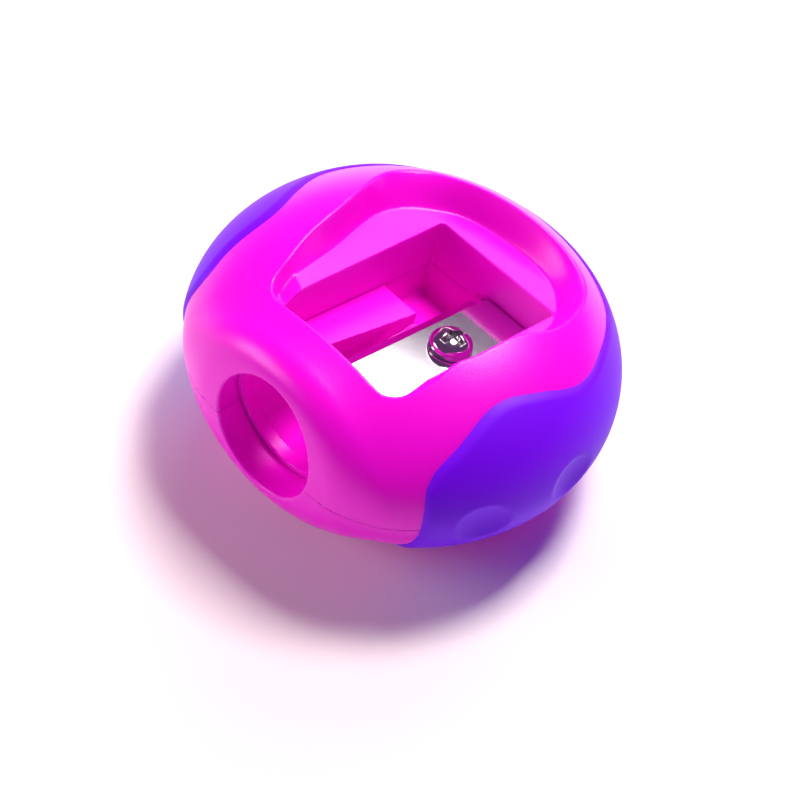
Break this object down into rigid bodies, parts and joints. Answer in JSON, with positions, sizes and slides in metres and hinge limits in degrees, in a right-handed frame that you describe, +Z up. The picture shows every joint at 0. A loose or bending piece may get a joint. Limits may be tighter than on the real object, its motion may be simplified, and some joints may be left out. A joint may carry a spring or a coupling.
{
  "type": "pencil sharpener",
  "caption": "Rounded hand-held pencil sharpener with a soft grip band, a thumb recess and a screwed-down steel blade over a tapered guide.",
  "frame": {"origin": "middle of the base, on the surface that the sharpener stands on", "axes": "+Z up; the pencil goes in along +Y through the mouth at the front (-Y); +X to the right seen from the front"},
  "size_m": [0.0404, 0.0352, 0.02],
  "materials": {
    "body_plastic": "magenta pink rigid plastic, satin moulded",
    "core_plastic": "magenta pink rigid plastic, moulded",
    "blade_steel": "ground and hardened steel",
    "screw_steel": "nickel plated steel",
    "grip_rubber": "violet soft-touch elastomer"
  },
  "bodies": {
    "housing": {"upper_shell": "body_plastic", "base_shell": "body_plastic", "sharpener_core": "core_plastic", "blade": "blade_steel", "grip_band": "grip_rubber"},
    "screw": {"blade_screw": "screw_steel"}
  },
  "joints": [
    {"name": "blade_screw_turn", "type": "hinge", "parent": "housing", "child": "screw", "pos_m": [0.0045, 0.00049, 0.01258], "axis": [0, 0.2756, 0.9613], "range_deg": [0, 2205]}
  ]
}
